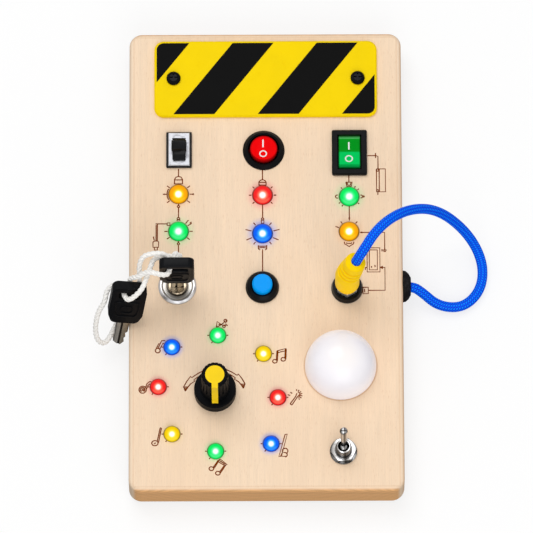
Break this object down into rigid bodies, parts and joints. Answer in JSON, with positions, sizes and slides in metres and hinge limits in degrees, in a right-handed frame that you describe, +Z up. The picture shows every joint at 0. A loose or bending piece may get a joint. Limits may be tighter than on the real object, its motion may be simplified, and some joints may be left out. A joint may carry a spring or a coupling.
{
  "type": "wooden busy board",
  "caption": "Flat wooden busy board with switches, a key lock with two keys on a cord, a patch cable, lamps, a selector knob, a dome and a toggle.",
  "frame": {"origin": "under the middle of the board, on the plane of its four rubber feet", "axes": "+X across the board to the cable side, +Y along it to the striped plate, +Z up through the panel"},
  "size_m": [0.2167, 0.266, 0.0762],
  "materials": {
    "beech": "satin lacquered beech",
    "cover_board": "plain fibreboard",
    "rubber": "matt",
    "yellow_plate": "glossy, bevelled edge",
    "stripe_black": "printed",
    "black_screw": "black zinc",
    "steel": "plain",
    "chrome": "polished",
    "nickel": "nickel plated",
    "black_plastic": "satin",
    "silver_plate": "satin",
    "red_plastic": "gloss",
    "green_plastic": "gloss",
    "blue_plastic": "gloss",
    "yellow_plastic": "satin",
    "pale_yellow_plastic": "satin",
    "white_plastic": "gloss",
    "lamp_amber": "clear, lit",
    "lamp_green": "clear, lit",
    "lamp_red": "clear, lit",
    "lamp_blue": "clear, lit",
    "lamp_yellow": "clear, lit",
    "lamp_white": "clear",
    "cotton": "twisted cotton cord",
    "cable_blue": "satin sheath",
    "circuit_board": "solder resist",
    "tinned_wire": "tinned",
    "cell_jacket": "gloss",
    "speaker_metal": "satin"
  },
  "bodies": {
    "board": {"case": "beech", "back_cover": "cover_board", "cover_screws": "steel", "rubber_feet": "rubber", "hazard_plate": "yellow_plate", "hazard_stripes": "stripe_black", "plate_screws": "black_screw", "paddle_housing": "black_plastic", "paddle_plate": "silver_plate", "red_switch_housing": "black_plastic", "green_switch_housing": "black_plastic", "amber_leds": "lamp_amber", "green_leds": "lamp_green", "red_leds": "lamp_red", "blue_leds": "lamp_blue", "yellow_leds": "lamp_yellow", "led_leads": "tinned_wire", "upper_board": "circuit_board", "ring_board": "circuit_board", "main_board": "circuit_board", "board_chips": "black_plastic", "board_screws": "steel", "lock_body": "chrome", "panel_nuts": "steel", "button_housing": "black_plastic", "button_spring": "steel", "jack_socket": "black_plastic", "patch_cable": "cable_blue", "cable_grommet": "rubber", "selector_switch": "steel", "dome_lens": "white_plastic", "lamp_led": "lamp_white", "toggle_body": "steel", "toggle_nut": "steel", "speaker": "speaker_metal", "battery_box": "black_plastic", "batteries": "cell_jacket", "battery_contacts": "tinned_wire"},
    "paddle": {"paddle_lever": "black_plastic"},
    "red_key": {"red_rocker": "red_plastic"},
    "green_key": {"green_rocker": "green_plastic"},
    "push_cap": {"button_cap": "blue_plastic"},
    "barrel": {"lock_barrel": "chrome", "lock_cam": "steel"},
    "key": {"key_bow": "black_plastic", "key_blade": "nickel"},
    "spare_key": {"spare_key_bow": "black_plastic", "spare_key_blade": "nickel", "key_cord": "cotton", "cord_knots": "cotton"},
    "plug": {"plug_pin": "nickel", "plug_collar": "nickel", "plug_boot": "yellow_plastic"},
    "knob": {"knob_body": "black_plastic", "knob_cap": "pale_yellow_plastic", "selector_shaft": "steel"},
    "toggle": {"toggle_lever": "chrome"},
    "door": {"battery_door": "black_plastic", "door_screw": "steel"}
  },
  "joints": [
    {"name": "paddle_rock", "type": "hinge", "parent": "board", "child": "paddle", "pos_m": [-0.0476, 0.064, 0.0217], "axis": [1, 0, 0], "range_deg": [-20, 0]},
    {"name": "red_rock", "type": "hinge", "parent": "board", "child": "red_key", "pos_m": [-0.001, 0.0638, 0.02], "axis": [1, 0, 0], "range_deg": [0, 14]},
    {"name": "green_rock", "type": "hinge", "parent": "board", "child": "green_key", "pos_m": [0.0462, 0.062, 0.02], "axis": [1, 0, 0], "range_deg": [0, 16]},
    {"name": "button_press", "type": "slide", "parent": "board", "child": "push_cap", "axis": [0, 0, -1], "range_m": [0, 0.0025], "stiffness_N_per_m": 150, "springref_m": -0.003, "deforming": ["button_spring"]},
    {"name": "key_turn", "type": "hinge", "parent": "board", "child": "barrel", "pos_m": [-0.0485, -0.0155, 0.024], "axis": [0, 0, 1], "range_deg": [-90, 0], "deforming": ["key_cord", "cord_knots"]},
    {"name": "key_pull", "type": "slide", "parent": "barrel", "child": "key", "axis": [0, 0, 1], "range_m": [0, 0.02]},
    {"name": "cord_swivel", "type": "hinge", "parent": "key", "child": "spare_key", "pos_m": [-0.0485, -0.0155, 0.024], "axis": [0, 0, 1], "range_deg": [0, 90], "deforming": ["key_cord", "cord_knots"]},
    {"name": "plug_pull", "type": "slide", "parent": "board", "child": "plug", "axis": [0, 0, 1], "range_m": [0, 0.02], "deforming": ["patch_cable"]},
    {"name": "knob_turn", "type": "hinge", "parent": "board", "child": "knob", "pos_m": [-0.0279, -0.0766, 0.0215], "axis": [0, 0, 1], "continuous": true},
    {"name": "toggle_flip", "type": "hinge", "parent": "board", "child": "toggle", "pos_m": [0.0418, -0.1108, 0.028], "axis": [1, 0, 0], "range_deg": [0, 34]},
    {"name": "door_open", "type": "hinge", "parent": "board", "child": "door", "pos_m": [-0.0551, 0.105, 0.0024], "axis": [0, 1, 0], "range_deg": [0, 75]}
  ],
  "couplings": [
    {"joint": "cord_swivel", "follows": "key_turn", "ratio": -1}
  ]
}
